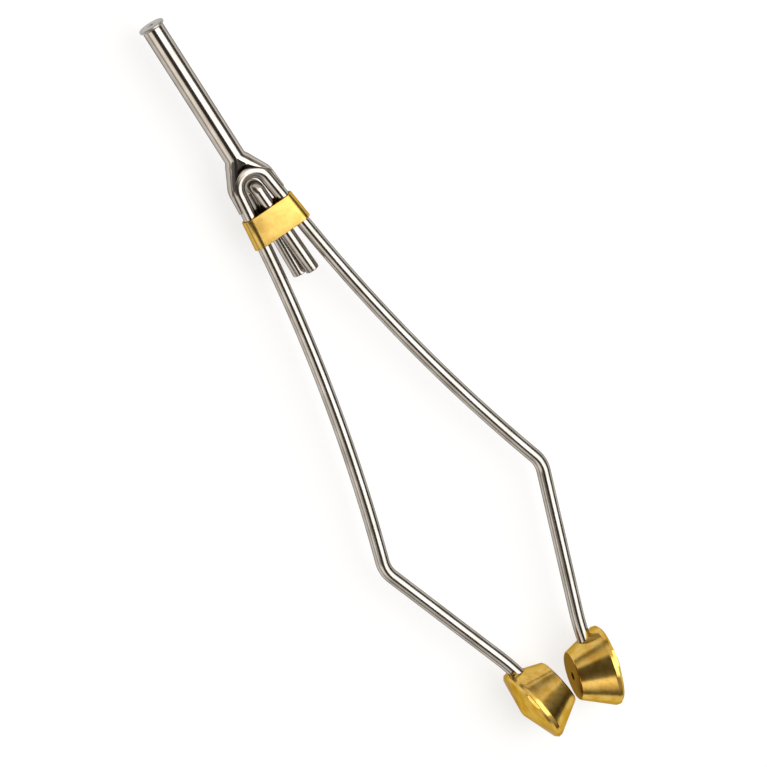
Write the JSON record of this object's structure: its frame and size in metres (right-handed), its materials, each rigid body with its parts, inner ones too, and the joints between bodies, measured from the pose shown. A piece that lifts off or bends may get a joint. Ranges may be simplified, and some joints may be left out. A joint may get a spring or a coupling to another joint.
{
  "type": "fly tying bobbin holder",
  "caption": "Sprung wire frame with a slim thread tube, a brass clamp band and cone-shaped brass feet that grip a thread spool between the arms.",
  "frame": {"origin": "centre of the tip's mouth, on the axis of the thread hole, where the thread leaves", "axes": "+Y along the thread tube and out of the tip, +X across the arms, +Z square to the plane of the arms"},
  "size_m": [0.026, 0.1093, 0.0108],
  "materials": {
    "polished_tube": "polished stainless tube",
    "tip_steel": "satin stainless lip",
    "drawn_wire": "drawn spring wire, polished",
    "band_brass": "bright rolled strip",
    "turned_brass": "turned and polished"
  },
  "bodies": {
    "frame": {"thread_tube": "polished_tube", "tip_bush": "tip_steel", "frame_wire": "drawn_wire", "wedge_hairpin": "drawn_wire", "clamp_band": "band_brass"},
    "left_arm": {"left_arm_wire": "drawn_wire", "left_spool_foot": "turned_brass"},
    "right_arm": {"right_arm_wire": "drawn_wire", "right_spool_foot": "turned_brass"}
  },
  "joints": [
    {"name": "left_arm_flex", "type": "hinge", "parent": "frame", "child": "left_arm", "pos_m": [-0.00438, -0.0423, 0], "axis": [0, 0, -1], "range_deg": [0, 14], "stiffness_Nm_per_rad": 3.4},
    {"name": "right_arm_flex", "type": "hinge", "parent": "frame", "child": "right_arm", "pos_m": [0.00438, -0.0423, 0], "axis": [0, 0, 1], "range_deg": [0, 14], "stiffness_Nm_per_rad": 3.4}
  ]
}
